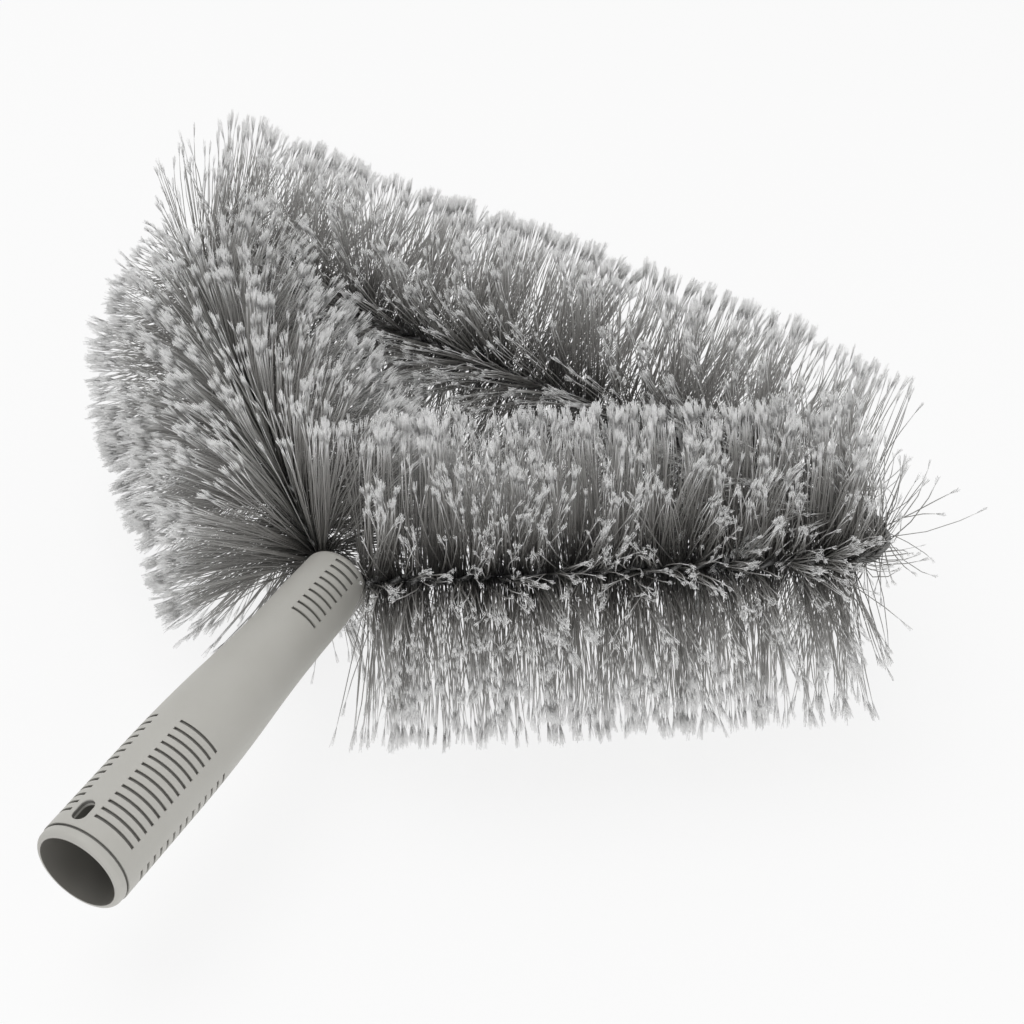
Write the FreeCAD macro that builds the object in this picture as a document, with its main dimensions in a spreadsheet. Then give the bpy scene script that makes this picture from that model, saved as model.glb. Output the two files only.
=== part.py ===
import FreeCAD, Part
import Sketcher
import math
import os

from FreeCAD import Placement, Rotation, Vector

doc = FreeCAD.newDocument("cobweb_brush")
dims = doc.addObject("Spreadsheet::Sheet", "dims")

# Millimetres and degrees. The frame: origin at the middle of the socket's mouth,
# +Y along the handle towards the head, +Z up, square to the plane of the wire loop.
sizes = [
    # handle: a tapered moulded socket
    ("handle_length", 140.0),
    ("neck_radius", 11.9),
    ("end_radius", 11.5),
    ("end_round", 3.0),
    ("taper_start", 40.0),
    ("taper_end", 122.0),
    ("pole_radius", 12.5),
    ("pole_clearance", 0.25),
    ("grip_wall", 2.25),
    ("bore_depth", 58.0),
    ("bore_cone", 8.0),
    ("cavity_radius", 8.3),
    ("end_wall", 21.0),
    ("lip_step", 0.3),
    ("lip_round", 1.7),
    ("ring_start", 3.2),
    ("ring_width", 0.8),
    ("ring_depth", 0.8),
    # grip rungs: four rows round the mouth end and one row near the head
    ("grip_turn", 33.0),
    ("rung_width", 1.1),
    ("rung_depth", 0.9),
    ("rung_pitch", 3.17),
    ("rung_span", 57.0),
    ("rung_start", 9.3),
    ("rung_count", 14),
    ("rung_rows", 4),
    ("upper_rung_span", 48.0),
    ("upper_rung_start", 109.4),
    ("upper_rung_pitch", 3.24),
    ("upper_rung_count", 9),
    # catch slot between two rows
    ("slot_length", 8.0),
    ("slot_width", 4.8),
    ("slot_middle", 10.2),
    # twisted wire stem
    ("strand_diameter", 2.1),
    ("strand_gap", 0.4),
    ("twist_pitch", 15.4),
    ("stem_spread", 8.8),
    ("stem_tail", 1.5),
    ("stem_clearance", 0.25),
    ("exit_bend", 8.0),
    ("apex_inset", 4.9),
    ("apex_angle", 105.7),
    ("head_turn", 4.65),
    ("leg_length", 207.0),
    ("far_bow", 2.0),
    ("right_bend", 12.0),
    ("left_bend", 5.0),
    # hidden anchor of the stem ends
    ("washer_thickness", 1.5),
    ("washer_clearance", 0.2),
    ("ferrule_length", 12.0),
    ("ferrule_wall", 1.0),
    ("ferrule_clearance", 0.1),
    # filaments, as bundles round the stem
    ("bristle_radius", 54.5),
    ("right_fan_radius", 32.0),
    ("left_fan_radius", 42.0),
    ("tuft_depth", 12.0),
    ("tuft_crest", 1.9),
    ("bristle_clearance", 0.3),
    ("bundle_gap", 0.3),
]
for row, (alias, value) in enumerate(sizes, start=1):
    dims.set("A%d" % row, alias)
    dims.set("B%d" % row, str(value))
    dims.setAlias("B%d" % row, alias)
doc.recompute()

legBundles = 3
farBundles = 5


def size(alias):
    return float(dims.get(alias))


def plane(body, role):
    for feature in body.Origin.OriginFeatures:
        if feature.Role == role:
            return feature


def sketchOn(body, name, role):
    sketch = body.newObject("Sketcher::SketchObject", name)
    sketch.AttachmentSupport = [(plane(body, role), "")]
    sketch.MapMode = "FlatFace"
    return sketch


def number(sketch, expression):
    value = sketch.evalExpression(expression)
    return float(getattr(value, "Value", value))


def tie(sketch, constraint, expression):
    index = sketch.addConstraint(constraint)
    sketch.setExpression("Constraints[%d]" % index, expression)


def fixCorner(sketch, geometry, end, corner):
    across, along = corner
    if across == "0":
        sketch.addConstraint(Sketcher.Constraint("PointOnObject", geometry, end, -2))
    else:
        value = number(sketch, across)
        tie(sketch, Sketcher.Constraint("DistanceX", -1, 1, geometry, end, value), across)
    if along == "0":
        sketch.addConstraint(Sketcher.Constraint("PointOnObject", geometry, end, -1))
    else:
        value = number(sketch, along)
        tie(sketch, Sketcher.Constraint("DistanceY", -1, 1, geometry, end, value), along)


# A closed outline from corners given as expressions. An edge named in bends is an arc of
# that radius, which swells to the left (+1) or right (-1) of the way round. A half circle
# is held by the level of its centre.
def outline(sketch, corners, bends):
    points = [Vector(number(sketch, a), number(sketch, b), 0) for a, b in corners]
    count = len(points)
    starts = []
    for i in range(count):
        first = points[i]
        last = points[(i + 1) % count]
        starts.append(1)
        if i not in bends:
            sketch.addGeometry(Part.LineSegment(first, last), False)
            continue
        radius = number(sketch, bends[i][0])
        side = bends[i][1]
        chord = last - first
        left = Vector(-chord.y, chord.x, 0) / chord.Length
        reach = math.sqrt(max(radius ** 2 - chord.Length ** 2 / 4, 0.0))
        centre = (first + last) / 2 - left * (side * reach)
        if side > 0:
            first, last = last, first
            starts[i] = 2
        startAngle = math.atan2(first.y - centre.y, first.x - centre.x)
        endAngle = math.atan2(last.y - centre.y, last.x - centre.x)
        circle = Part.Circle(centre, Vector(0, 0, 1), radius)
        sketch.addGeometry(Part.ArcOfCircle(circle, startAngle, endAngle), False)
    for i in range(count):
        following = (i + 1) % count
        joint = Sketcher.Constraint("Coincident", i, 3 - starts[i], following, starts[following])
        sketch.addConstraint(joint)
    for i in range(count):
        fixCorner(sketch, i, starts[i], corners[i])
    for i in bends:
        if len(bends[i]) == 3:
            level = number(sketch, bends[i][2])
            tie(sketch, Sketcher.Constraint("DistanceY", -1, 1, i, 3, level), bends[i][2])
            continue
        radius = number(sketch, bends[i][0])
        tie(sketch, Sketcher.Constraint("Radius", i, radius), bends[i][0])


def circleAt(sketch, centre, radius):
    across, along = centre
    middle = Vector(number(sketch, across), number(sketch, along), 0)
    ring = Part.Circle(middle, Vector(0, 0, 1), number(sketch, radius))
    index = sketch.addGeometry(ring, False)
    fixCorner(sketch, index, 3, centre)
    tie(sketch, Sketcher.Constraint("Radius", index, number(sketch, radius)), radius)


# Handle: the section is turned about Y, with the pole bore open at the mouth, a cone, and
# a smaller cavity that ends at the wall which the stem passes through.
handleBody = doc.addObject("PartDesign::Body", "handle_body")
boreRadius = "dims.pole_radius + dims.pole_clearance"
gripRadius = boreRadius + " + dims.grip_wall"
lipRadius = gripRadius + " - dims.lip_step"
wallStart = "dims.handle_length - dims.end_wall"
ringFloor = gripRadius + " - dims.ring_depth"
ringEnd = "dims.ring_start + dims.ring_width"
taperMiddle = "(dims.taper_start + dims.taper_end) / 2"
taperRadius = "(%s + dims.neck_radius) / 2" % gripRadius
taperDrop = "(%s - dims.neck_radius)" % gripRadius
taperSweep = "((dims.taper_end - dims.taper_start) ^ 2 + %s ^ 2) / (4 * %s)" % (taperDrop, taperDrop)
handleCorners = [
    (boreRadius, "0"),
    (lipRadius + " - dims.lip_round", "0"),
    (lipRadius, "dims.lip_round"),
    (lipRadius, "dims.ring_start"),
    (ringFloor, "dims.ring_start"),
    (ringFloor, ringEnd),
    (gripRadius, ringEnd),
    (gripRadius, "dims.taper_start"),
    (taperRadius, taperMiddle),
    ("dims.neck_radius", "dims.taper_end"),
    ("dims.end_radius", "dims.handle_length - dims.end_round"),
    ("dims.end_radius - dims.end_round", "dims.handle_length"),
    ("0", "dims.handle_length"),
    ("0", wallStart),
    ("dims.cavity_radius", wallStart),
    ("dims.cavity_radius", "dims.bore_depth + dims.bore_cone"),
    (boreRadius, "dims.bore_depth"),
]
handleBends = {
    1: ("dims.lip_round", -1),
    7: (taperSweep, -1),
    8: (taperSweep, 1),
    10: ("dims.end_round", -1),
}
handleSection = sketchOn(handleBody, "handle_section", "XY_Plane")
outline(handleSection, handleCorners, handleBends)
handleTurned = handleBody.newObject("PartDesign::Revolution", "handle_turned")
handleTurned.Profile = handleSection
handleTurned.ReferenceAxis = (handleSection, ["V_Axis"])
handleTurned.Angle = 360
doc.recompute()


# A rung is a short ring groove, centred on one direction round the handle. It repeats
# along the handle, and where there are rows it repeats round it too.
def rungs(name, start, floor, span, pitch, count, rows):
    section = sketchOn(handleBody, name + "_section", "XY_Plane")
    spin = Rotation(Vector(0, 1, 0), size("grip_turn") - 90)
    section.AttachmentOffset = Placement(Vector(0, 0, 0), spin)
    section.setExpression("AttachmentOffset.Rotation.Angle", "dims.grip_turn - 90")
    rungEnd = start + " + dims.rung_width"
    rim = gripRadius + " + dims.rung_depth"
    outline(section, [(floor, start), (rim, start), (rim, rungEnd), (floor, rungEnd)], {})
    groove = handleBody.newObject("PartDesign::Groove", name + "_groove")
    groove.Profile = section
    groove.ReferenceAxis = (section, ["V_Axis"])
    groove.Midplane = True
    groove.setExpression("Angle", span)
    doc.recompute()
    series = handleBody.newObject("PartDesign::MultiTransform", name + "_series")
    series.Originals = [groove]
    along = handleBody.newObject("PartDesign::LinearPattern", name + "_along")
    along.Direction = (plane(handleBody, "Y_Axis"), [""])
    along.setExpression("Length", "%s * (%s - 1)" % (pitch, count))
    along.setExpression("Occurrences", count)
    steps = [along]
    if rows:
        around = handleBody.newObject("PartDesign::PolarPattern", name + "_around")
        around.Axis = (plane(handleBody, "Y_Axis"), [""])
        around.Angle = 360
        around.setExpression("Occurrences", rows)
        steps.append(around)
    series.Transformations = steps
    handleBody.Tip = series
    doc.recompute()


rungFloor = gripRadius + " - dims.rung_depth"
upperFloor = "dims.neck_radius - dims.rung_depth"
rungs("rung", "dims.rung_start", rungFloor, "dims.rung_span", "dims.rung_pitch",
      "dims.rung_count", "dims.rung_rows")
rungs("upper_rung", "dims.upper_rung_start", upperFloor, "dims.upper_rung_span", "dims.upper_rung_pitch",
      "dims.upper_rung_count", "")

# Catch slot: a long hole through one wall, half way between two rows of rungs.
slotSection = sketchOn(handleBody, "slot_section", "XY_Plane")
slotSpin = Rotation(Vector(0, 1, 0), size("grip_turn") - 180 / size("rung_rows"))
slotSection.AttachmentOffset = Placement(Vector(0, 0, 0), slotSpin)
slotSection.setExpression("AttachmentOffset.Rotation.Angle", "dims.grip_turn - 180 / dims.rung_rows")
slotHalf = "dims.slot_width / 2"
slotNear = "dims.slot_middle - dims.slot_length / 2 + dims.slot_width / 2"
slotFar = "dims.slot_middle + dims.slot_length / 2 - dims.slot_width / 2"
slotCorners = [
    ("-" + slotHalf, slotNear),
    (slotHalf, slotNear),
    (slotHalf, slotFar),
    ("-" + slotHalf, slotFar),
]
outline(slotSection, slotCorners, {0: (slotHalf, -1, slotNear), 2: (slotHalf, -1, slotFar)})
slotPocket = handleBody.newObject("PartDesign::Pocket", "slot_pocket")
slotPocket.Profile = slotSection
slotPocket.Reversed = True
slotPocket.setExpression("Length", gripRadius + " + dims.rung_depth")
doc.recompute()

# The stem's middle line lies in the XY plane: out of the handle, along the right leg, round
# the right corner, along the bowed far side, round the left corner and back down the left leg.
# Each piece of it is (start, end, centre), with no centre on a straight run.
flat = Vector(0, 0, 1)
apex = Vector(0, size("handle_length") - size("apex_inset"), 0)
rightAngle = math.radians(90 - size("apex_angle") / 2 - size("head_turn"))
leftAngle = math.radians(90 + size("apex_angle") / 2 - size("head_turn"))
rightWay = Vector(math.cos(rightAngle), math.sin(rightAngle), 0)
leftWay = Vector(math.cos(leftAngle), math.sin(leftAngle), 0)
rightPoint = apex + rightWay * size("leg_length")
leftPoint = apex + leftWay * size("leg_length")
chord = leftPoint - rightPoint
farRadius = (chord.Length ** 2 / 4 + size("far_bow") ** 2) / (2 * size("far_bow"))
outward = chord.cross(flat).normalize()
farCentre = (rightPoint + leftPoint) / 2 - outward * (farRadius - size("far_bow"))
stemOffset = size("stem_spread") / 2
wallFace = size("handle_length") - size("end_wall")
washerFace = wallFace - size("washer_thickness")
ferruleFace = washerFace - size("ferrule_length")
stemEnd = ferruleFace - size("stem_tail")
helixRadius = (size("strand_diameter") + size("strand_gap")) / 2
stemRadius = helixRadius + size("strand_diameter") / 2
channelRadius = stemRadius + size("stem_clearance")
bristleBore = stemRadius + size("bristle_clearance")


# Where a leg turns into the far side: the bend's centre and its two tangent points.
def cornerBend(way, inward, bend):
    base = apex + inward * bend - farCentre
    half = base.dot(way)
    reach = -half + math.sqrt(half ** 2 - base.dot(base) + (farRadius - bend) ** 2)
    centre = apex + way * reach + inward * bend
    farWay = (centre - farCentre).normalize()
    return centre, apex + way * reach, farCentre + farWay * farRadius


# Where the stem leaves the handle: the bend's centre and its two tangent points.
def exitBend(way, side):
    bend = size("exit_bend")
    reach = stemOffset / abs(way.x)
    corner = apex + way * reach
    turn = math.acos(way.y)
    tangent = bend * math.tan(turn / 2)
    inner = corner - Vector(0, tangent, 0)
    return inner + Vector(side * bend, 0, 0), inner, corner + way * tangent


rightInward = flat.cross(rightWay)
leftInward = leftWay.cross(flat)
rightBend, rightLegEnd, rightFarEnd = cornerBend(rightWay, rightInward, size("right_bend"))
leftBend, leftLegEnd, leftFarEnd = cornerBend(leftWay, leftInward, size("left_bend"))
rightExit, rightInner, rightLegStart = exitBend(rightWay, 1)
leftExit, leftInner, leftLegStart = exitBend(leftWay, -1)
route = [
    (Vector(stemOffset, stemEnd, 0), rightInner, None),
    (rightInner, rightLegStart, rightExit),
    (rightLegStart, rightLegEnd, None),
    (rightLegEnd, rightFarEnd, rightBend),
    (rightFarEnd, leftFarEnd, farCentre),
    (leftFarEnd, leftLegEnd, leftBend),
    (leftLegEnd, leftLegStart, None),
    (leftLegStart, leftInner, leftExit),
    (leftInner, Vector(-stemOffset, stemEnd, 0), None),
]


def turnOf(piece):
    start, end, centre = piece
    first = start - centre
    last = end - centre
    return math.atan2(first.cross(last).z, first.dot(last))


def lengthOf(piece):
    start, end, centre = piece
    if centre is None:
        return (end - start).Length
    return abs(turnOf(piece)) * (start - centre).Length


stemLength = sum(lengthOf(piece) for piece in route)


def stemPoint(distance):
    for piece in route:
        length = lengthOf(piece)
        if distance <= length or piece is route[-1]:
            break
        distance -= length
    start, end, centre = piece
    if centre is None:
        way = (end - start).normalize()
        return start + way * distance, way
    turn = turnOf(piece) * distance / length
    arm = Rotation(flat, math.degrees(turn)).multVec(start - centre)
    way = flat.cross(arm).normalize() * (1 if turnOf(piece) > 0 else -1)
    return centre + arm, way


def strandPoint(distance, phase):
    middle, way = stemPoint(distance)
    angle = phase - 2 * math.pi * distance / size("twist_pitch")
    beside = flat.cross(way)
    return middle + (beside * math.cos(angle) + flat * math.sin(angle)) * helixRadius


def arcFrom(start, way, end):
    chord = end - start
    angle = way.getAngle(chord)
    if angle < 1e-4:
        return Part.LineSegment(start, end)
    crest = start + way * (chord.Length / (2 * math.cos(angle)))
    middle = (start + end) / 2
    rise = chord.Length / 2 * math.tan(angle / 2)
    return Part.Arc(start, middle + (crest - middle).normalize() * rise, end)


# A strand winds left-handed round the stem's middle line, a pair of arcs to each quarter turn.
def strandSolid(phase):
    quarters = round(4 * stemLength / size("twist_pitch"))
    step = stemLength / quarters
    nudge = step / 200
    points = []
    ways = []
    for i in range(quarters + 1):
        distance = i * step
        points.append(strandPoint(distance, phase))
        ahead = strandPoint(min(distance + nudge, stemLength), phase)
        behind = strandPoint(max(distance - nudge, 0.0), phase)
        ways.append((ahead - behind).normalize())
    edges = []
    for i in range(quarters):
        span = points[i + 1] - points[i]
        both = ways[i] + ways[i + 1]
        square = 2 * (1 - ways[i].dot(ways[i + 1]))
        slope = span.dot(both)
        reach = span.dot(span) / (slope + math.sqrt(slope ** 2 + square * span.dot(span)))
        joint = (points[i] + ways[i] * reach + points[i + 1] - ways[i + 1] * reach) / 2
        edges.append(arcFrom(points[i], ways[i], joint).toShape())
        edges.append(arcFrom(points[i + 1], ways[i + 1] * -1, joint).toShape())
    path = Part.Wire(edges)
    section = Part.Wire([Part.Circle(points[0], ways[0], size("strand_diameter") / 2).toShape()])
    return path.makePipeShell([section], True, False)


# Half of space on the side that a normal points to, as a block larger than the head.
def halfSpace(point, normal):
    reach = 4 * (size("leg_length") + size("bristle_radius"))
    block = Part.makeBox(reach, reach, reach)
    block.translate(Vector(-reach / 2, -reach / 2, 0))
    block.Placement = Placement(point, Rotation(flat, normal)).multiply(block.Placement)
    return block


def keepSide(solid, point, normal):
    return solid.common(halfSpace(point + normal * (size("bundle_gap") / 2), normal))


def feature(label, solid):
    item = doc.addObject("Part::Feature", label)
    item.Label = label
    item.Shape = solid
    item.Placement = Placement()
    return item


# The handle's two stem channels follow the stem through the end wall and out past its rim.
def channel(side, inner, exitCentre, legStart, way):
    start = Vector(side * stemOffset, wallFace - size("washer_thickness") / 2, 0)
    beyond = legStart + way * size("end_radius")
    arm = inner - exitCentre
    half = turnOf((inner, legStart, exitCentre)) / 2
    middle = exitCentre + Rotation(flat, math.degrees(half)).multVec(arm)
    runs = [Part.LineSegment(start, inner)]
    runs.append(Part.Arc(inner, middle, legStart))
    runs.append(Part.LineSegment(legStart, beyond))
    path = Part.Wire([run.toShape() for run in runs])
    section = Part.Wire([Part.Circle(start, Vector(0, 1, 0), channelRadius).toShape()])
    return path.makePipeShell([section], True, False)


rightChannel = feature("stem_channel_right", channel(1, rightInner, rightExit, rightLegStart, rightWay))
leftChannel = feature("stem_channel_left", channel(-1, leftInner, leftExit, leftLegStart, leftWay))
channels = doc.addObject("Part::MultiFuse", "stem_channels")
channels.Shapes = [rightChannel, leftChannel]
handle = doc.addObject("Part::Cut", "handle_grip")
handle.Label = "handle_grip"
handle.Base = handleBody
handle.Tool = channels
doc.recompute()

# Anchor of the stem ends: a washer against the end wall and a ferrule crimped on each stem.
stemSide = "dims.stem_spread / 2"
stemOuter = "dims.strand_diameter + dims.strand_gap / 2"
washer = doc.addObject("PartDesign::Body", "retaining_washer")
washer.Label = "retaining_washer"
washerSketch = sketchOn(washer, "washer_section", "XZ_Plane")
washerSketch.setExpression("AttachmentOffset.Base.z", "-(%s)" % wallStart)
circleAt(washerSketch, ("0", "0"), "dims.cavity_radius - dims.washer_clearance")
circleAt(washerSketch, (stemSide, "0"), stemOuter + " + dims.stem_clearance")
circleAt(washerSketch, ("-" + stemSide, "0"), stemOuter + " + dims.stem_clearance")
washerPad = washer.newObject("PartDesign::Pad", "washer_pad")
washerPad.Profile = washerSketch
washerPad.setExpression("Length", "dims.washer_thickness")


def ferrule(label, side):
    body = doc.addObject("PartDesign::Body", label)
    body.Label = label
    section = sketchOn(body, label + "_section", "XZ_Plane")
    section.setExpression("AttachmentOffset.Base.z", "-(%s - dims.washer_thickness)" % wallStart)
    circleAt(section, (side, "0"), stemOuter + " + dims.ferrule_clearance + dims.ferrule_wall")
    circleAt(section, (side, "0"), stemOuter + " + dims.ferrule_clearance")
    pad = body.newObject("PartDesign::Pad", label + "_pad")
    pad.Profile = section
    pad.setExpression("Length", "dims.ferrule_length")
    return body


rightFerrule = ferrule("stem_ferrule_right", stemSide)
leftFerrule = ferrule("stem_ferrule_left", "-" + stemSide)
doc.recompute()

strandA = feature("stem_strand_a", strandSolid(0.0))
strandB = feature("stem_strand_b", strandSolid(math.pi))

# Filament bundles keep to their own side of the planes that halve the loop's corners, and
# clear of the handle.
apexNormal = (rightWay - leftWay).normalize()
rightHalf = (rightBend - rightPoint).normalize()
leftHalf = (leftBend - leftPoint).normalize()
rightNormal = flat.cross(rightHalf)
leftNormal = leftHalf.cross(flat)
gap = size("bristle_clearance")
gripOuter = size("pole_radius") + size("pole_clearance") + size("grip_wall")
handleEdge = [
    Vector(0, 0, 0),
    Vector(gripOuter + gap, 0, 0),
    Vector(gripOuter + gap, size("taper_start"), 0),
    Vector(size("neck_radius") + gap, size("taper_end"), 0),
    Vector(size("neck_radius") + gap, size("handle_length") + gap, 0),
    Vector(0, size("handle_length") + gap, 0),
    Vector(0, 0, 0),
]
handleRoom = Part.Face(Part.makePolygon(handleEdge)).revolve(Vector(0, 0, 0), Vector(0, 1, 0), 360)


def ringFace(centre, way, outer, inner):
    rim = Part.Wire([Part.Circle(centre, way, outer).toShape()])
    hole = Part.Wire([Part.Circle(centre, way, inner).toShape()])
    return Part.Face(rim).cut(Part.Face(hole)).Faces[0]


# The filaments in each half turn of the twist spread as one tuft, with a V between neighbours.
def tuftCount(length):
    return max(1, round(2 * length / size("twist_pitch")))


def tuftGroove(middle, way, spacing):
    depth = size("tuft_depth")
    over = size("tuft_crest")
    half = (spacing - size("tuft_crest")) / 2 * (depth + over) / depth
    valley = middle + flat * (size("bristle_radius") - depth)
    edge = middle + flat * (size("bristle_radius") + over)
    profile = Part.makePolygon([valley, edge + way * half, edge - way * half, valley])
    return Part.Face(profile).revolve(middle, way, 360)


def legBundle(label, way, start, end, normals):
    face = ringFace(start, way, size("bristle_radius"), bristleBore)
    solid = face.extrude(end - start)
    tufts = tuftCount(end.distanceToPoint(start))
    step = (end - start) / tufts
    grooves = [tuftGroove(start + step * i, way, step.Length) for i in range(tufts + 1)]
    solid = solid.cut(grooves)
    for point, normal in normals:
        solid = keepSide(solid, point, normal)
    return feature(label, solid.cut(handleRoom).Solids[0])


def legRun(label, way, legStart, legEnd, normals):
    made = []
    start = legStart + way * size("bundle_gap")
    end = legEnd - way * size("bundle_gap")
    step = (end - start) / legBundles
    for i in range(legBundles):
        first = start + step * i
        last = first + step - way * size("bundle_gap")
        made.append(legBundle("%s_%d" % (label, i + 1), way, first, last, normals))
    return made


rightSides = [(apex, apexNormal), (rightBend, rightNormal)]
leftSides = [(apex, apexNormal * -1), (leftBend, leftNormal)]
bundles = legRun("bristles_right_leg", rightWay, rightLegStart, rightLegEnd, rightSides)
bundles += legRun("bristles_left_leg", leftWay, leftLegStart, leftLegEnd, leftSides)

farSides = [(rightBend, rightNormal * -1), (leftBend, leftNormal * -1)]
farTurn = turnOf((rightFarEnd, leftFarEnd, farCentre))
farGap = size("bundle_gap") / farRadius
farStep = (farTurn - farGap) / farBundles
for i in range(farBundles):
    startTurn = farGap + farStep * i
    arm = Rotation(flat, math.degrees(startTurn)).multVec(rightFarEnd - farCentre)
    face = ringFace(farCentre + arm, flat.cross(arm), size("bristle_radius"), bristleBore)
    solid = face.revolve(farCentre, flat, math.degrees(farStep - farGap))
    tufts = tuftCount((farStep - farGap) * farRadius)
    tuftTurn = (farStep - farGap) / tufts
    grooves = []
    for k in range(tufts + 1):
        tuftArm = Rotation(flat, math.degrees(tuftTurn * k)).multVec(arm)
        tuftWay = flat.cross(tuftArm).normalize()
        grooves.append(tuftGroove(farCentre + tuftArm, tuftWay, tuftTurn * farRadius))
    solid = solid.cut(grooves)
    for point, normal in farSides:
        solid = keepSide(solid, point, normal)
    bundles.append(feature("bristles_far_side_%d" % (i + 1), solid.Solids[0]))


# The few filaments on a corner's bend spread in a fan about the bend's centre.
def cornerFan(label, centre, start, end, radius):
    arm = (start - centre).normalize()
    bend = start.distanceToPoint(centre)
    inset = size("bundle_gap")
    rise = math.sqrt(radius ** 2 - (bend - inset) ** 2)
    top = centre + arm * inset + flat * rise
    foot = centre + arm * inset - flat * rise
    tip = centre + arm * (bend + radius)
    rim = Part.Wire([Part.Arc(top, tip, foot).toShape(), Part.LineSegment(foot, top).toShape()])
    hole = Part.Wire([Part.Circle(start, arm.cross(flat), bristleBore).toShape()])
    face = Part.Face(rim).cut(Part.Face(hole)).Faces[0]
    solid = face.revolve(centre, flat, math.degrees(turnOf((start, end, centre))))
    return feature(label, solid.Solids[0])


rightFanRadius = size("right_fan_radius")
leftFanRadius = size("left_fan_radius")
rightFan = cornerFan("bristles_right_corner", rightBend, rightLegEnd, rightFarEnd, rightFanRadius)
leftFan = cornerFan("bristles_left_corner", leftBend, leftFarEnd, leftLegEnd, leftFanRadius)
doc.recompute()

nodes = [handle, washer, rightFerrule, leftFerrule, strandA, strandB] + bundles + [rightFan, leftFan]
for item in doc.Objects:
    if "Invalid" in item.State or "Error" in item.State:
        raise RuntimeError("%s did not compute" % item.Name)
for node in nodes:
    if node.Shape.isNull() or not node.Shape.isValid():
        raise RuntimeError("%s has no valid shape" % node.Label)
os.makedirs("parts", exist_ok=True)
for node in nodes:
    node.Shape.exportStep("parts/%s.step" % node.Label)
    print(node.Label, len(node.Shape.Solids), round(node.Shape.Volume, 1))
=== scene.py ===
import bpy
import bmesh
import math
import numpy as np
from mathutils import Matrix, Vector


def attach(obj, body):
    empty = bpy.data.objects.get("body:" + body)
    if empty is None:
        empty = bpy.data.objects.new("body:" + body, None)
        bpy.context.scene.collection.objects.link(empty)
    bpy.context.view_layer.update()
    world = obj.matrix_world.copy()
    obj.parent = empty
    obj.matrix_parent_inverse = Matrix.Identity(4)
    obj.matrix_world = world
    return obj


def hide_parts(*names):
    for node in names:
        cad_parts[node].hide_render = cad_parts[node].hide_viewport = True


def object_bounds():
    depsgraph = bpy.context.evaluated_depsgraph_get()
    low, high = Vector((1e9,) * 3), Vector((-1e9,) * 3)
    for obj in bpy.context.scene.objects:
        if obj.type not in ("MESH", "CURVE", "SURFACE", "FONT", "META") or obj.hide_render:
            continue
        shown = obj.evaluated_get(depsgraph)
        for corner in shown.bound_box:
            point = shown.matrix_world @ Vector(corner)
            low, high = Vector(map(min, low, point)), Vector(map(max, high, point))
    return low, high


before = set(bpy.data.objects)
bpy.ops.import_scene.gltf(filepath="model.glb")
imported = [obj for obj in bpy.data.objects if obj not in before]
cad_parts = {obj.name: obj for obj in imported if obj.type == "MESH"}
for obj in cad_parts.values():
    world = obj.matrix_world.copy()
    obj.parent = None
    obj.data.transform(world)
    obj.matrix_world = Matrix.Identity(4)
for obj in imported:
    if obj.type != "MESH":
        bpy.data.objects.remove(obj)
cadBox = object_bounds()
scene = bpy.context.scene
scene.view_settings.view_transform = "Standard"
mm = 0.001
print("frame loaded", len(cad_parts), "nodes")


# wraps one socket, so that node maths reads as plain expressions
class Wire:
    def __init__(self, finish, socket):
        self.finish = finish
        self.socket = socket

    def maths(self, operation, other, flip=False):
        pair = [other, self] if flip else [self, other]
        return self.finish.node("Math", {"operation": operation}, {0: pair[0], 1: pair[1]})

    def __add__(self, other): return self.maths("ADD", other)
    def __radd__(self, other): return self.maths("ADD", other, True)
    def __sub__(self, other): return self.maths("SUBTRACT", other)
    def __rsub__(self, other): return self.maths("SUBTRACT", other, True)
    def __mul__(self, other): return self.maths("MULTIPLY", other)
    def __rmul__(self, other): return self.maths("MULTIPLY", other, True)
    def __gt__(self, other): return self.maths("GREATER_THAN", other)
    def __lt__(self, other): return self.maths("LESS_THAN", other)
    def __pow__(self, other): return self.maths("POWER", other)


# one material, or the world: node() makes any node from its type, settings and inputs
class Finish:
    def __init__(self, name, library=bpy.data.materials):
        self.material = library.new(name)
        self.material.use_nodes = True
        self.tree = self.material.node_tree
        self.shader = self.tree.nodes.get("Principled BSDF")

    def node(self, kind, settings, inputs, output=0):
        made = self.tree.nodes.new("ShaderNode" + kind)
        for key, value in settings.items():
            if key == "stops":
                ramp = made.color_ramp
                while len(ramp.elements) < len(value):
                    ramp.elements.new(0.5)
                for element, (place, colour) in zip(ramp.elements, value):
                    element.position = place
                    element.color = (*colour, 1.0)
            else:
                setattr(made, key, value)
        for key, value in inputs.items():
            self.put(made.inputs[key], value)
        return Wire(self, made.outputs[output])

    def put(self, socket, value):
        if isinstance(value, Wire):
            self.tree.links.new(value.socket, socket)
        elif isinstance(value, tuple) and socket.type == "RGBA":
            socket.default_value = (*value, 1.0)
        else:
            socket.default_value = value

    def set(self, **values):
        for key, value in values.items():
            self.put(self.shader.inputs[key.replace("_", " ")], value)

    def mix(self, factor, first, second):
        settings = {"data_type": "RGBA"}
        return self.node("Mix", settings, {"Factor": factor, 6: first, 7: second}, 2)

    def axes(self, vector):
        parts = self.node("SeparateXYZ", {}, {0: vector}).socket.node.outputs
        return [Wire(self, part) for part in parts]

    # 1 where the camera looks straight, off metal or through glass
    def seen(self):
        rays = ("Is Camera Ray", "Is Glossy Ray", "Is Transmission Ray")
        straight, mirrored, through = [self.node("LightPath", {}, {}, ray) for ray in rays]
        return straight + mirrored + through

    def bump(self, height, strength, distance):
        inputs = {"Height": height, "Strength": strength, "Distance": distance}
        bumped = self.node("Bump", {}, inputs)
        self.put(self.shader.inputs["Normal"], bumped)


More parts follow.
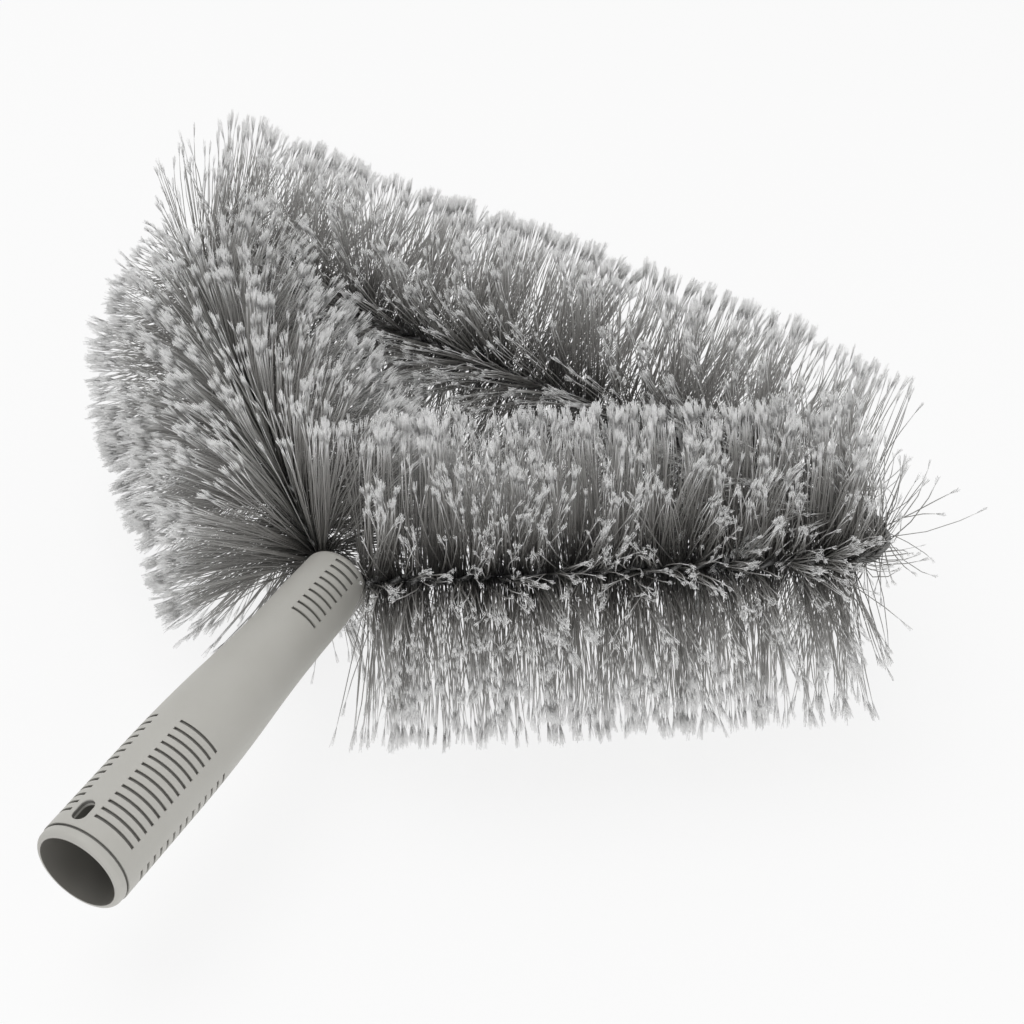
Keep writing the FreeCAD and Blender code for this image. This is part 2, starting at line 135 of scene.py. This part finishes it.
# camera, from the handle's and the wire's outlines
view = {
    "place": (0.28233, -0.27126, 0.45454),
    "right": (0.88192, 0.47139, 0.00265),
    "down": (0.30932, -0.57445, -0.75785),
    "ahead": (-0.35572, 0.66918, -0.65242),
    "lens": 72.30,
}
camera = bpy.data.objects.new("camera", bpy.data.cameras.new("camera"))
scene.collection.objects.link(camera)
scene.camera = camera
camera.data.sensor_width = 36.0
camera.data.lens = view["lens"]
camera.data.clip_start = 0.01
upWay = -Vector(view["down"])
backWay = -Vector(view["ahead"])
cameraAxes = Matrix((view["right"], upWay, backWay)).transposed()
camera.matrix_world = Matrix.Translation(view["place"]) @ cameraAxes.to_4x4()
print("camera set")


# the loop of the twisted stem, in the plane z = 0
loop = {
    "apex": (0.0, 135.1 * mm),
    "rightAngle": 32.5,
    "leftAngle": 138.2,
    "leg": 207 * mm,
    "bow": 2 * mm,
    "rightBend": 12 * mm,
    "leftBend": 5 * mm,
    "rightStart": 9.6 * mm,
    "leftStart": 9.5 * mm,
}


def alongLeg(angle):
    return np.array((math.cos(math.radians(angle)), math.sin(math.radians(angle))))


apex = np.array(loop["apex"])
rightWay = alongLeg(loop["rightAngle"])
leftWay = alongLeg(loop["leftAngle"])
rightPoint = apex + rightWay * loop["leg"]
leftPoint = apex + leftWay * loop["leg"]
chord = leftPoint - rightPoint
chordLength = np.linalg.norm(chord)
farRadius = (chordLength ** 2 / 4 + loop["bow"] ** 2) / (2 * loop["bow"])
outward = np.array((chord[1], -chord[0])) / chordLength
farCentre = (rightPoint + leftPoint) / 2 - outward * (farRadius - loop["bow"])


def cornerBend(way, inward, bend):
    base = apex + inward * bend - farCentre
    half = base @ way
    reach = -half + math.sqrt(half ** 2 - base @ base + (farRadius - bend) ** 2)
    return apex + way * reach + inward * bend, reach


rightInward = np.array((-rightWay[1], rightWay[0]))
leftInward = np.array((leftWay[1], -leftWay[0]))
rightBend, rightReach = cornerBend(rightWay, rightInward, loop["rightBend"])
leftBend, leftReach = cornerBend(leftWay, leftInward, loop["leftBend"])


def bearing(centre, point):
    return math.atan2(point[1] - centre[1], point[0] - centre[0])


# the left leg and the far side meet on the line that halves the left corner
meetAlong = chord / chordLength + leftWay
meetAlong = meetAlong / np.linalg.norm(meetAlong)
meetAcross = np.array((-meetAlong[1], meetAlong[0]))
farStart = bearing(farCentre, rightBend)
farEnd = bearing(farCentre, leftBend)
rightTurn = (math.radians(loop["rightAngle"]) - math.pi / 2, farStart)
leftTurn = (farEnd, math.radians(loop["leftAngle"]) + math.pi / 2)


# points and directions of the stem at shares from 0 to 1 of one stretch
def straightStem(way, start, end):
    def stem(share):
        reach = start + (end - start) * share
        middle = apex + reach[:, None] * way
        return middle, np.broadcast_to(way, middle.shape)
    return stem


def curvedStem(centre, radius, start, end):
    def stem(share):
        turn = start + (end - start) * share
        arm = np.column_stack((np.cos(turn), np.sin(turn)))
        return centre + arm * radius, np.column_stack((-arm[:, 1], arm[:, 0]))
    return stem


# one filament with its split tip: x and y in metres, z from 0 at the root to 1
filament = {
    "shapes": 24,
    "sides": 3,
    "radius": 0.19 * mm,
    "tipRadius": 0.16 * mm,
    "rings": (0.0, 0.4, 0.72, 0.90),
    "splits": 10,
    "splitFoot": 0.87,
    "splitInset": 0.06 * mm,
    "splitRadius": 0.09 * mm,
    "splitLength": (0.08, 0.135),
    "splitSpread": 0.7 * mm,
    "splitTurn": (0.0, 0.8),
    "splitShare": (0.05, 1.0),
    "rootRadius": 0.15 * mm,
    "reach": 57.2 * mm,
    "floor": 53.4 * mm,  # no tip goes lower than this
    "thick": (0.8, 1.15),
    "mapAlong": (0.02, 0.96),  # OFBake: start and span, root to tip in v and tone in u
    "mapTone": (0.03, 0.94),
    "mapEdge": 0.012,  # gives each face some width in u
    "mapTurn": 2.4,
}


def filamentShape(chance):
    bm = bmesh.new()
    bmesh.ops.create_circle(bm, cap_ends=True, segments=filament["sides"], radius=filament["radius"])
    bmesh.ops.reverse_faces(bm, faces=bm.faces[:])
    bm.faces.ensure_lookup_table()
    last = bm.faces[0]
    levels = filament["rings"]
    for low, high in zip(levels, levels[1:]):
        grown = bmesh.ops.extrude_face_region(bm, geom=[last], use_keep_orig=low == 0.0)["geom"]
        last = [item for item in grown if isinstance(item, bmesh.types.BMFace)][0]
        bmesh.ops.translate(bm, verts=last.verts, vec=(0, 0, high - low))
    narrow = filament["tipRadius"] / filament["radius"]
    bmesh.ops.scale(bm, verts=last.verts, vec=(narrow, narrow, 1))
    for split in range(filament["splits"]):
        length = chance.uniform(*filament["splitLength"])
        prong = bmesh.ops.create_cone(bm, cap_ends=True, segments=3, radius1=0.0,
                                      radius2=filament["splitRadius"], depth=length)["verts"]
        bmesh.ops.translate(bm, verts=prong, vec=(0, 0, filament["splitFoot"] + length / 2))
        turn = 2 * math.pi * (split + chance.uniform(*filament["splitTurn"])) / filament["splits"]
        lean = filament["splitSpread"] * math.sqrt(chance.uniform(*filament["splitShare"]))
        for vert in prong:
            out = lean if vert.co.z > filament["splitFoot"] + length / 2 else filament["splitInset"]
            vert.co.x += out * math.cos(turn)
            vert.co.y += out * math.sin(turn)
    bmesh.ops.remove_doubles(bm, verts=bm.verts[:], dist=1e-7)
    bmesh.ops.recalc_face_normals(bm, faces=bm.faces[:])
    bmesh.ops.triangulate(bm, faces=bm.faces[:])
    bm.verts.index_update()
    points = np.array([vert.co[:] for vert in bm.verts])
    faces = np.array([[vert.index for vert in face.verts] for face in bm.faces])
    bm.free()
    return points, faces


chance = np.random.default_rng(41)
filamentShapes = [filamentShape(chance) for _ in range(filament["shapes"])]
print("filament shapes", [len(faces) for points, faces in filamentShapes][:4], "faces")

# how the filaments stand on the stem, thin out at the bends and keep clear of the handle
growth = {
    "perMetre": 29000,
    "perClump": 6,
    "clumpSpread": 1.2 * mm,
    "rootSpread": 2.4 * mm,
    "twistPitch": 15.4 * mm,
    "twistShare": 0.25,
    "twistSpread": 1.0,
    "lean": 3.4 * mm,
    "curl": 0.9 * mm,
    "hook": 1.3 * mm,
    "hookPower": 6,
    "astray": 0.12,
    "astrayTurn": 0.5,
    "astrayLean": 2.0,
    "clumpTrim": 0.035,
    "trim": 0.02,
    "below": 0.53,
    "leftSpan": 65 * mm,
    "rightSpan": 48 * mm,
    "sideways": (0.89, 0.46),
    "cornerTurn": 2.2,
    "leftShort": 0.55,
    "leftThin": 0.5,
    "leftLong": 0.09,
    "leftHollow": 0.92,
    "hollowWay": (0.356, -0.669, 0.652),
    "hollowSlope": (2.0, 0.5),
    "rightShort": 0.2,
    "rightThin": 0.985,
    "rightSlope": (2.5, 1.0),
    "meetOver": 5 * mm,
    "meetUneven": 1.2,
    "meetLeast": 16 * mm,
    "meetSlant": 0.05,
    "handleRadius": 12.4 * mm,
    "handleEnd": 140.4 * mm,
    "handleSteps": 9,
}


# rises from 0 to 1 as the value passes the slope's start
def slope(value, steepness, start):
    return np.clip(steepness * value - start, 0, 1)


def nearness(middle, bend, span):
    return np.clip(1 - np.linalg.norm(middle[:, :2] - bend, axis=1) / span, 0, 1)


def filamentMesh(name, points, corners, shadeMap):
    mesh = bpy.data.meshes.new(name)
    mesh.vertices.add(len(points))
    mesh.vertices.foreach_set("co", points.ravel())
    mesh.loops.add(corners.size)
    mesh.loops.foreach_set("vertex_index", corners.ravel())
    mesh.polygons.add(len(corners))
    mesh.polygons.foreach_set("loop_start", np.arange(len(corners)) * 3)
    mesh.polygons.foreach_set("use_smooth", np.ones(len(corners), dtype=bool))
    mesh.update(calc_edges=True)
    shade = shadeMap[corners.ravel()].ravel()
    mesh.uv_layers.new(name="OFBake").data.foreach_set("uv", shade)
    return mesh


def lay(name, stem, length, count, node, reachShare, strayCurl, full=(1.0, 1.0), meets=False):
    chance = np.random.default_rng(sum(map(ord, name)))
    clumps = max(count // growth["perClump"], 1)
    clumpShare = (np.arange(clumps) + chance.uniform(0, 1, clumps)) / clumps
    wound = -2 * math.pi * clumpShare * length / growth["twistPitch"]
    wound += math.pi * chance.integers(0, 2, clumps)  # on one wire or the other
    wound += chance.normal(0, growth["twistSpread"], clumps)
    loose = chance.uniform(0, 2 * math.pi, clumps)
    clumpAngle = np.where(chance.uniform(0, 1, clumps) < growth["twistShare"], wound, loose)
    clumpLean = chance.normal(0, growth["lean"], clumps)
    owner = chance.integers(0, clumps, count)
    share = clumpShare[owner] + chance.normal(0, growth["rootSpread"], count) / length
    share = 1 - np.abs(1 - np.abs(share))
    reach = filament["reach"] * reachShare(chance, clumps)[owner]
    reach = reach * (1 - np.abs(chance.normal(0, growth["trim"], count)))
    tipAlong = clumpLean[owner] + chance.normal(0, growth["clumpSpread"], count)
    tipAlong -= (share - clumpShare[owner]) * length
    tipAcross = chance.normal(0, growth["clumpSpread"], count)
    astray = chance.uniform(0, 1, count) < growth["astray"]
    angle = clumpAngle[owner] + astray * chance.normal(0, growth["astrayTurn"], count)
    tipAlong = np.where(astray, growth["astrayLean"] * tipAlong, tipAlong)
    curl = chance.normal(0, growth["curl"] * strayCurl, (count, 2))
    hook = chance.normal(0, growth["hook"], (clumps, 2))[owner]
    middle, way = stem(share)
    middle = np.column_stack((middle, np.zeros(count)))
    way = np.column_stack((way, np.zeros(count)))
    beside = np.column_stack((-way[:, 1], way[:, 0], np.zeros(count)))
    up = np.array((0.0, 0.0, 1.0))
    out = np.cos(angle)[:, None] * beside + np.sin(angle)[:, None] * up
    around = -np.sin(angle)[:, None] * beside + np.cos(angle)[:, None] * up
    toRight = growth["cornerTurn"] * (out[:, :2] @ np.array(growth["sideways"]))
    leftward = np.clip(-toRight, 0, 1)
    rightward = np.clip(toRight, 0, 1)
    upward = np.clip(np.sin(angle), 0, 1)
    downward = np.clip(-np.sin(angle), 0, 1)
    nearLeft = nearness(middle, leftBend, growth["leftSpan"])
    nearRight = nearness(middle, rightBend, growth["rightSpan"])
    reach = reach * (1 - growth["leftShort"] * nearLeft * leftward)
    reach = reach * (1 - growth["rightShort"] * nearRight * rightward)
    reach = reach * (1 + growth["leftLong"] * nearLeft * upward)
    if meets:
        fromMeet = (middle[:, :2] - leftPoint) @ meetAcross
        towards = -np.sign(fromMeet) * (out[:, :2] @ meetAcross)
        towards = np.maximum(towards, growth["meetSlant"])
        gap = np.abs(fromMeet) + growth["meetOver"]
        gap += growth["meetUneven"] * clumpLean[owner]
        reach = np.minimum(reach, np.maximum(gap / towards, growth["meetLeast"]))
    reach = np.minimum(reach, filament["floor"] / np.maximum(-np.sin(angle), 0.01))
    straight = np.sqrt(np.maximum(reach ** 2 - tipAlong ** 2 - tipAcross ** 2, 1e-8))

    def spot(level):
        rise = filament["rootRadius"] + (straight - filament["rootRadius"])[:, None] * level
        sway = level * level - level
        bent = level ** growth["hookPower"]
        sideways = tipAlong[:, None] * level + curl[:, :1] * sway * 4 + hook[:, :1] * bent
        across = tipAcross[:, None] * level + curl[:, 1:] * sway * 4 + hook[:, 1:] * bent
        place = middle[:, None] + out[:, None] * rise[:, :, None]
        place = place + way[:, None] * sideways[:, :, None]
        return place + around[:, None] * across[:, :, None]

    trail = spot(np.linspace(0.0, 1.0, growth["handleSteps"])[None, :].repeat(count, 0))
    fromAxis = np.hypot(trail[:, :, 0], trail[:, :, 2])
    inHandle = (fromAxis < growth["handleRadius"]) & (trail[:, :, 1] < growth["handleEnd"])
    fullness = full[0] + (full[1] - full[0]) * share
    fullness = fullness * (1 - growth["below"] * downward)
    fullness = fullness * (1 - growth["leftThin"] * nearLeft * leftward)
    hollow = slope(out @ np.array(growth["hollowWay"]), *growth["hollowSlope"])
    fullness = fullness * (1 - growth["leftHollow"] * nearLeft * hollow)
    bare = slope(nearRight, *growth["rightSlope"])
    fullness = fullness * (1 - growth["rightThin"] * bare * rightward)
    keep = ~inHandle.any(1) & (chance.uniform(0, 1, count) < fullness)
    shape = chance.integers(0, filament["shapes"], count)
    tone = (chance.uniform(0, 1, count) + chance.uniform(0, 1, clumps)[owner]) / 2
    thick = chance.uniform(*filament["thick"], count)
    spin = chance.uniform(0, 2 * math.pi, count)
    alongStart, alongSpan = filament["mapAlong"]
    toneStart, toneSpan = filament["mapTone"]
    allPoints, allFaces, allAlong, allTone = [], [], [], []
    total = 0
    for index, (points, faces) in enumerate(filamentShapes):
        pick = np.nonzero(keep & (shape == index))[0]
        if not len(pick):
            continue
        level = np.broadcast_to(points[:, 2], (count, len(points)))
        placed = spot(level)[pick]
        cosine = (np.cos(spin[pick]) * thick[pick])[:, None]
        sine = (np.sin(spin[pick]) * thick[pick])[:, None]
        sideX = points[:, 0] * cosine - points[:, 1] * sine
        sideY = points[:, 0] * sine + points[:, 1] * cosine
        placed = placed + way[pick][:, None] * sideX[:, :, None]
        placed = placed + around[pick][:, None] * sideY[:, :, None]
        starts = total + np.arange(len(pick)) * len(points)
        allPoints.append(placed.reshape(-1, 3))
        allFaces.append((faces[None] + starts[:, None, None]).reshape(-1, 3))
        along = points[:, 2] / points[:, 2].max() * alongSpan + alongStart
        allAlong.append(np.tile(along, len(pick)))
        edge = filament["mapEdge"] * np.sin(filament["mapTurn"] * np.arange(len(points)))
        allTone.append((tone[pick][:, None] * toneSpan + toneStart + edge[None]).ravel())
        total += len(pick) * len(points)
    corners = np.concatenate(allFaces)
    shadeMap = np.column_stack((np.concatenate(allTone), np.concatenate(allAlong)))
    mesh = filamentMesh(name, np.concatenate(allPoints), corners, shadeMap)
    piece = bpy.data.objects.new(name, mesh)
    scene.collection.objects.link(piece)
    piece.data.materials.append(filamentFinish.material)
    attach(piece, "root")
    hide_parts(node)
    print(name, keep.sum(), "filaments", len(corners), "triangles")


# filament plastic: painted shade makes it dark at the roots, then silver grey, whitish at the split
# tips
filamentFinish = Finish("silver_filament")
filamentMap = filamentFinish.node("UVMap", {"uv_map": "OFBake"}, {})
filamentTone, filamentAlong = filamentFinish.axes(filamentMap)[:2]
# painted shade: the ramp's dark start stands for the shade among the roots; the silver grey and the
# whitish split tips are the filament's own colour
filamentRampWithRootShade = [
    (0.00, (0.080, 0.077, 0.070)),
    (0.25, (0.140, 0.135, 0.124)),
    (0.55, (0.245, 0.239, 0.226)),
    (0.76, (0.380, 0.375, 0.364)),
    (0.87, (0.940, 0.940, 0.935)),
]
filamentGreyWithRootShade = filamentFinish.node("ValToRGB", {"stops": filamentRampWithRootShade}, {0: filamentAlong})
filamentShade = filamentFinish.mix(0.2 * filamentTone, filamentGreyWithRootShade, (0.75, 0.74, 0.73))
filamentFinish.set(Base_Color=filamentShade, Roughness=0.42)


# how much of its full reach each clump has: cut even, or left uneven at the bends
def cut(long):
    def reachShare(chance, count):
        return long * (1.0 - np.abs(chance.normal(0, growth["clumpTrim"], count)))
    return reachShare


def uneven(least, most):
    def reachShare(chance, count):
        return chance.uniform(least, most, count)
    return reachShare


# bundles of filaments; full is the share that grows at the start and at the end of one
legBundles = 3
legs = (
    {"side": "right", "way": rightWay, "start": loop["rightStart"], "end": rightReach,
     "long": 1.0, "lastFull": 0.9, "meets": False},
    {"side": "left", "way": leftWay, "start": loop["leftStart"], "end": leftReach,
     "long": 1.02, "lastFull": 0.75, "meets": True},
)
for leg in legs:
    step = (leg["end"] - leg["start"]) / legBundles
    for i in range(legBundles):
        stem = straightStem(leg["way"], leg["start"] + step * i, leg["start"] + step * (i + 1))
        full = (1.0, leg["lastFull"] if i == legBundles - 1 else 1.0)
        lay("%s_leg_filaments_%d" % (leg["side"], i + 1), stem, step,
            round(growth["perMetre"] * step), "bristles_%s_leg_%d" % (leg["side"], i + 1),
            cut(leg["long"]), 1.0, full, leg["meets"])
farSide = {"bundles": 5, "long": 1.01, "full": 0.8, "firstFull": 0.5, "lastFull": 0.65}
farStep = (farEnd - farStart) / farSide["bundles"]
for i in range(farSide["bundles"]):
    stem = curvedStem(farCentre, farRadius, farStart + farStep * i, farStart + farStep * (i + 1))
    length = farStep * farRadius
    full = (farSide["firstFull"] if i == 0 else farSide["full"],
            farSide["lastFull"] if i == farSide["bundles"] - 1 else farSide["full"])
    lay("far_side_filaments_%d" % (i + 1), stem, length, round(growth["perMetre"] * length),
        "bristles_far_side_%d" % (i + 1), cut(farSide["long"]), 1.0, full, True)
bends = (
    {"side": "right", "stem": curvedStem(rightBend, loop["rightBend"], *rightTurn),
     "length": 30 * mm, "count": 340, "reach": uneven(0.4, 0.9), "curl": 2.2},
    {"side": "left", "stem": curvedStem(leftBend, loop["leftBend"], *leftTurn),
     "length": 13 * mm, "count": 260, "reach": uneven(0.8, 1.0), "curl": 1.5},
)
for bend in bends:
    lay(bend["side"] + "_corner_filaments", bend["stem"], bend["length"], bend["count"],
        "bristles_%s_corner" % bend["side"], bend["reach"], bend["curl"])

# moulded handle: warm grey, with painted shade down in the rungs and the ring groove and inside the
# bore
handleLook = {
    "lowerGrooves": (13.6 * mm, 14.62 * mm, 3.0 * mm, 56 * mm),  # radii, then start and end
    "upperGrooves": (10.5 * mm, 11.42 * mm, 108 * mm, 137 * mm),
    "grooveShade": 0.75,
    "boreRadius": 12.9 * mm,
    "boreEnd": 60 * mm,
    "boreShadeStrength": 0.8,
}
handleFinish = Finish("moulded_grey")
handleSpot = handleFinish.node("TexCoord", {}, {}, "Object")
handleX, handleY, handleZ = handleFinish.axes(handleSpot)
handleRadius = (handleX * handleX + handleZ * handleZ) ** 0.5


def handleBand(inner, outer, near, far):
    return (handleRadius > inner) * (handleRadius < outer) * (handleY > near) * (handleY < far)


# painted shade: masks of the rungs, the ring groove and the bore, where shade falls
groove = handleBand(*handleLook["lowerGrooves"]) + handleBand(*handleLook["upperGrooves"])
boreInside = (handleRadius < handleLook["boreRadius"]) * (handleY < handleLook["boreEnd"])
mottle = handleFinish.node("TexNoise", {}, {"Vector": handleSpot, "Scale": 90.0, "Detail": 3.0})
grain = handleFinish.node("TexNoise", {}, {"Vector": handleSpot, "Scale": 2600.0, "Detail": 2.0})
handleGrey = handleFinish.mix(mottle, (0.455, 0.445, 0.41), (0.50, 0.492, 0.46))
# painted shade: the rungs, the ring groove and the inside of the bore are darkened towards near black
handleGrooveShaded = handleFinish.mix(handleLook["grooveShade"] * groove, handleGrey, (0.07, 0.066, 0.06))
boreShade = handleLook["boreShadeStrength"] * boreInside
handleShade = handleFinish.mix(boreShade, handleGrooveShaded, (0.09, 0.084, 0.073))
handleFinish.set(Base_Color=handleShade, Roughness=0.48 + 0.12 * mottle)
handleFinish.bump(grain, 0.12, 0.0002)

# dull drawn wire of the stem, and the plain steel hidden in the handle
wireFinish = Finish("dull_wire")
wireSpot = wireFinish.node("TexCoord", {}, {}, "Object")
wireStreak = wireFinish.node("TexNoise", {}, {"Vector": wireSpot, "Scale": 700.0, "Detail": 3.0})
wireFinish.set(Base_Color=wireFinish.mix(wireStreak, (0.10, 0.10, 0.10), (0.22, 0.22, 0.215)),
               Roughness=0.38 + 0.2 * wireStreak, Metallic=0.7)
anchorFinish = Finish("plain_steel")
anchorSpot = anchorFinish.node("TexCoord", {}, {}, "Object")
anchorStreak = anchorFinish.node("TexNoise", {}, {"Vector": anchorSpot, "Scale": 300.0, "Detail": 2.0})
anchorFinish.set(Base_Color=anchorFinish.mix(anchorStreak, (0.36, 0.36, 0.36), (0.48, 0.48, 0.48)),
                 Roughness=0.3 + 0.2 * anchorStreak, Metallic=1.0)
nodeFinishes = {
    "handle_grip": handleFinish,
    "stem_strand_a": wireFinish,
    "stem_strand_b": wireFinish,
    "retaining_washer": anchorFinish,
    "stem_ferrule_right": anchorFinish,
    "stem_ferrule_left": anchorFinish,
}
for node, finish in nodeFinishes.items():
    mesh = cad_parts[node].data
    mesh.materials.clear()
    mesh.materials.append(finish.material)
print("finishes set")

# pale table just under the filament tips: it glows as a white table in full light would
stage = {"size": 6.0, "drop": 0.3 * mm, "white": 0.84, "lit": 0.82}
bm = bmesh.new()
bmesh.ops.create_grid(bm, x_segments=1, y_segments=1, size=stage["size"])
bmesh.ops.translate(bm, verts=bm.verts[:], vec=(0, 0.2, cadBox[0][2] - stage["drop"]))
floorMesh = bpy.data.meshes.new("floor")
bm.to_mesh(floorMesh)
bm.free()
floor = bpy.data.objects.new("floor", floorMesh)
scene.collection.objects.link(floor)
floorFinish = Finish("pale_floor")
floorFinish.set(Base_Color=(0.9, 0.9, 0.9), Roughness=0.9)
floorPlain = Wire(floorFinish, floorFinish.shader.outputs[0])
floorGlow = floorFinish.node("Emission", {}, {"Color": (1.0, 1.0, 1.0), "Strength": 1.0})
floorShare = stage["lit"] + (stage["white"] - stage["lit"]) * floorFinish.seen()
floorMix = floorFinish.node("MixShader", {}, {0: floorShare, 1: floorPlain, 2: floorGlow})
floorFinish.put(floorFinish.tree.nodes["Material Output"].inputs["Surface"], floorMix)
floorMesh.materials.append(floorFinish.material)

# soft studio light: a room that is darker on the camera's side, white where it is seen
room = {"dimWay": (0.356, -0.669, 0.652), "turn": (-0.6, 1.0), "strength": (1.0, 0.22)}
studio = Finish("studio", bpy.data.worlds)
scene.world = studio.material
roomWay = studio.node("TexCoord", {}, {}, "Generated")
roomDot = {"operation": "DOT_PRODUCT"}
roomTurn = studio.node("VectorMath", roomDot, {0: roomWay, 1: room["dimWay"]}, "Value")
roomStrength = studio.node("MapRange", {}, {
    "Value": roomTurn, "From Min": room["turn"][0], "From Max": room["turn"][1],
    "To Min": room["strength"][0], "To Max": room["strength"][1]})
roomLight = studio.tree.nodes["Background"]
studio.put(roomLight.inputs["Color"], (1.0, 1.0, 1.0))
studio.put(roomLight.inputs["Strength"], roomStrength)
roomWhite = studio.node("Background", {}, {"Color": (1.0, 1.0, 1.0), "Strength": 1.0})
roomMix = studio.node("MixShader", {}, {
    0: studio.seen(), 1: Wire(studio, roomLight.outputs[0]), 2: roomWhite})
studio.put(studio.tree.nodes["World Output"].inputs["Surface"], roomMix)
lampTarget = Vector((0, 0.15, 0))
softboxes = (
    {"name": "overhead_softbox", "place": (-0.25, 0.0, 1.3), "size": 1.0, "watts": 7.6},
    {"name": "side_softbox", "place": (1.2, -0.3, 0.7), "size": 0.8, "watts": 1.8},
    {"name": "low_softbox", "place": (0.75, -0.95, 0.22), "size": 0.5, "watts": 3.2},
)
for box in softboxes:
    lamp = bpy.data.lights.new(box["name"], "AREA")
    lamp.energy = box["watts"]
    lamp.size = box["size"]
    holder = bpy.data.objects.new(box["name"], lamp)
    holder.location = box["place"]
    aim = lampTarget - Vector(box["place"])
    holder.rotation_euler = aim.to_track_quat("-Z", "Y").to_euler()
    scene.collection.objects.link(holder)
print("stage and light set")
